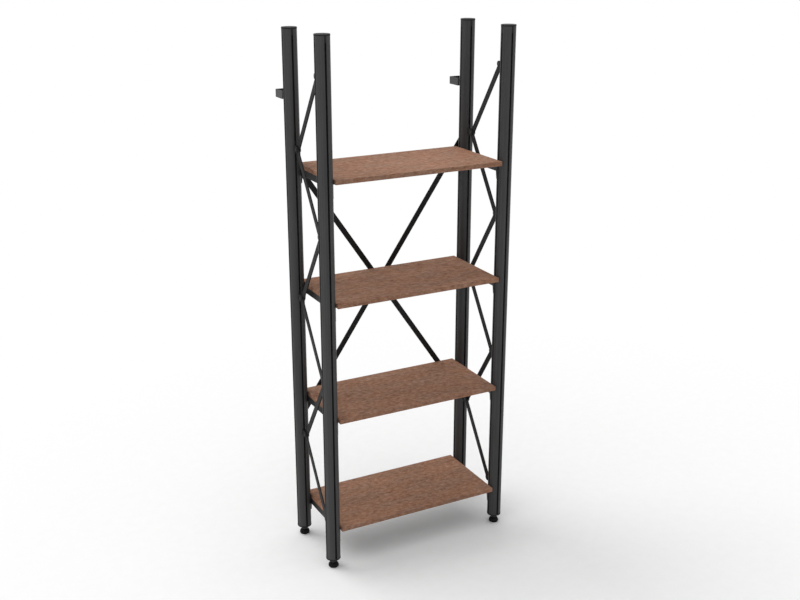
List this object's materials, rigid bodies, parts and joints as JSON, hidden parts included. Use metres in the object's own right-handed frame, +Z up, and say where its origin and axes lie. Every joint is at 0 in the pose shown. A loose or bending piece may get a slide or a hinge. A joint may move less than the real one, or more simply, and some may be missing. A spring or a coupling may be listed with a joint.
{
  "type": "pipe shelving unit",
  "caption": "Open shelving unit: round slotted posts, brown boards on height-adjustable carriers, zigzag side braces, crossed rear braces, wall brackets and levelling feet.",
  "frame": {"origin": "on the floor, at the middle of the part's plan outline", "axes": "+Z up, +X to the right seen from the front, +Y to the rear, towards the wall"},
  "size_m": [0.6988, 0.3596, 1.788],
  "materials": {
    "post_aluminium": "satin black anodised extrusion",
    "cap_plastic": "moulded black, fine grain",
    "brace_steel": "black powder coat",
    "bracket_steel": "black powder coat",
    "carrier_steel": "black powder coat",
    "board_brown": "brown board with a fine flecked grain",
    "black_fasteners": "black oxide",
    "stud_steel": "black zinc",
    "pad_rubber": "matt black"
  },
  "bodies": {
    "frame": {"post_front_left": "post_aluminium", "top_cap_front_left": "cap_plastic", "base_plug_front_left": "cap_plastic", "post_front_right": "post_aluminium", "top_cap_front_right": "cap_plastic", "base_plug_front_right": "cap_plastic", "post_rear_left": "post_aluminium", "top_cap_rear_left": "cap_plastic", "base_plug_rear_left": "cap_plastic", "post_rear_right": "post_aluminium", "top_cap_rear_right": "cap_plastic", "base_plug_rear_right": "cap_plastic", "foot_lock_nuts": "black_fasteners", "side_brace_left_1": "brace_steel", "side_brace_left_2": "brace_steel", "side_brace_left_3": "brace_steel", "side_brace_left_4": "brace_steel", "side_brace_left_5": "brace_steel", "side_brace_left_6": "brace_steel", "side_brace_right_1": "brace_steel", "side_brace_right_2": "brace_steel", "side_brace_right_3": "brace_steel", "side_brace_right_4": "brace_steel", "side_brace_right_5": "brace_steel", "side_brace_right_6": "brace_steel", "brace_lugs": "brace_steel", "side_brace_fasteners": "black_fasteners", "rear_brace_rising": "brace_steel", "rear_brace_falling": "brace_steel", "rear_fasteners": "black_fasteners", "wall_bracket_left": "bracket_steel", "wall_bracket_right": "bracket_steel"},
    "shelf_1": {"shelf_1_board": "board_brown", "shelf_1_carrier_left": "carrier_steel", "shelf_1_carrier_right": "carrier_steel", "shelf_1_board_screws": "black_fasteners", "shelf_1_lock_screws": "black_fasteners"},
    "shelf_2": {"shelf_2_board": "board_brown", "shelf_2_carrier_left": "carrier_steel", "shelf_2_carrier_right": "carrier_steel", "shelf_2_board_screws": "black_fasteners", "shelf_2_lock_screws": "black_fasteners"},
    "shelf_3": {"shelf_3_board": "board_brown", "shelf_3_carrier_left": "carrier_steel", "shelf_3_carrier_right": "carrier_steel", "shelf_3_board_screws": "black_fasteners", "shelf_3_lock_screws": "black_fasteners"},
    "shelf_4": {"shelf_4_board": "board_brown", "shelf_4_carrier_left": "carrier_steel", "shelf_4_carrier_right": "carrier_steel", "shelf_4_board_screws": "black_fasteners", "shelf_4_lock_screws": "black_fasteners"},
    "pad_front_left": {"foot_pad_front_left": "pad_rubber"},
    "stud_front_left": {"foot_stud_front_left": "stud_steel"},
    "pad_front_right": {"foot_pad_front_right": "pad_rubber"},
    "stud_front_right": {"foot_stud_front_right": "stud_steel"},
    "pad_rear_left": {"foot_pad_rear_left": "pad_rubber"},
    "stud_rear_left": {"foot_stud_rear_left": "stud_steel"},
    "pad_rear_right": {"foot_pad_rear_right": "pad_rubber"},
    "stud_rear_right": {"foot_stud_rear_right": "stud_steel"}
  },
  "joints": [
    {"name": "shelf_1_height", "type": "slide", "parent": "frame", "child": "shelf_1", "axis": [0, 0, 1], "range_m": [-0.02, 0.15]},
    {"name": "shelf_2_height", "type": "slide", "parent": "frame", "child": "shelf_2", "axis": [0, 0, 1], "range_m": [-0.15, 0.15]},
    {"name": "shelf_3_height", "type": "slide", "parent": "frame", "child": "shelf_3", "axis": [0, 0, 1], "range_m": [-0.15, 0.15]},
    {"name": "shelf_4_height", "type": "slide", "parent": "frame", "child": "shelf_4", "axis": [0, 0, 1], "range_m": [-0.15, 0.4]},
    {"name": "foot_level_front_left", "type": "slide", "parent": "frame", "child": "pad_front_left", "axis": [0, 0, -1], "range_m": [-0.00175, 0.0175]},
    {"name": "foot_turn_front_left", "type": "hinge", "parent": "pad_front_left", "child": "stud_front_left", "pos_m": [-0.3245, -0.15477, 0.02], "axis": [0, 0, -1], "range_deg": [-360, 3600]},
    {"name": "foot_level_front_right", "type": "slide", "parent": "frame", "child": "pad_front_right", "axis": [0, 0, -1], "range_m": [-0.00175, 0.0175]},
    {"name": "foot_turn_front_right", "type": "hinge", "parent": "pad_front_right", "child": "stud_front_right", "pos_m": [0.3245, -0.15477, 0.02], "axis": [0, 0, -1], "range_deg": [-360, 3600]},
    {"name": "foot_level_rear_left", "type": "slide", "parent": "frame", "child": "pad_rear_left", "axis": [0, 0, -1], "range_m": [-0.00175, 0.0175]},
    {"name": "foot_turn_rear_left", "type": "hinge", "parent": "pad_rear_left", "child": "stud_rear_left", "pos_m": [-0.3245, 0.09523, 0.02], "axis": [0, 0, -1], "range_deg": [-360, 3600]},
    {"name": "foot_level_rear_right", "type": "slide", "parent": "frame", "child": "pad_rear_right", "axis": [0, 0, -1], "range_m": [-0.00175, 0.0175]},
    {"name": "foot_turn_rear_right", "type": "hinge", "parent": "pad_rear_right", "child": "stud_rear_right", "pos_m": [0.3245, 0.09523, 0.02], "axis": [0, 0, -1], "range_deg": [-360, 3600]}
  ],
  "couplings": [
    {"joint": "foot_turn_front_left", "follows": "foot_level_front_left", "rad_per_m": 3590.3},
    {"joint": "foot_turn_front_right", "follows": "foot_level_front_right", "rad_per_m": 3590.3},
    {"joint": "foot_turn_rear_left", "follows": "foot_level_rear_left", "rad_per_m": 3590.3},
    {"joint": "foot_turn_rear_right", "follows": "foot_level_rear_right", "rad_per_m": 3590.3}
  ]
}
